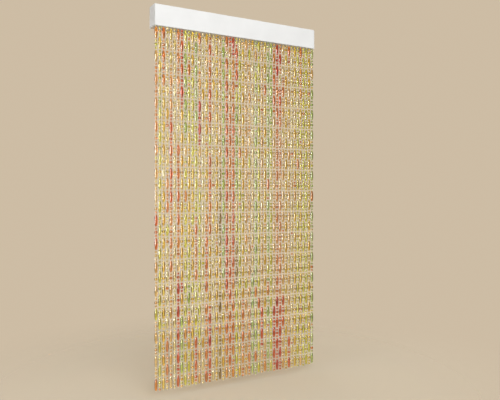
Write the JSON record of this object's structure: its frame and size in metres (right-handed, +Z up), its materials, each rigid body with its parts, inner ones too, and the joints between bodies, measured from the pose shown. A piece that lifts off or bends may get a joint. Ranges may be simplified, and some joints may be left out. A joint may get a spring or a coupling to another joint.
{
  "type": "bead door curtain with head rail",
  "caption": "Door curtain of hanging strands of clear coloured beads, long and round in turn, under a plain white box head rail.",
  "frame": {"origin": "centre of the head rail's back face, where it meets the wall over the door", "axes": "+X along the rail to the right as seen from the front, +Y back towards the wall, +Z up; the front faces -Y"},
  "size_m": [1, 0.08, 2.0042],
  "materials": {
    "head_rail": "white satin powder coat",
    "end_cap": "white moulded plastic",
    "beads": "clear tinted acrylic, polished",
    "thread": "white twisted thread"
  },
  "bodies": {
    "root": {"head_rail": "head_rail", "end_cap_left": "end_cap", "end_cap_right": "end_cap", "strand_carrier_left": "beads", "strand_carrier_right": "beads"}
  },
  "joints": []
}
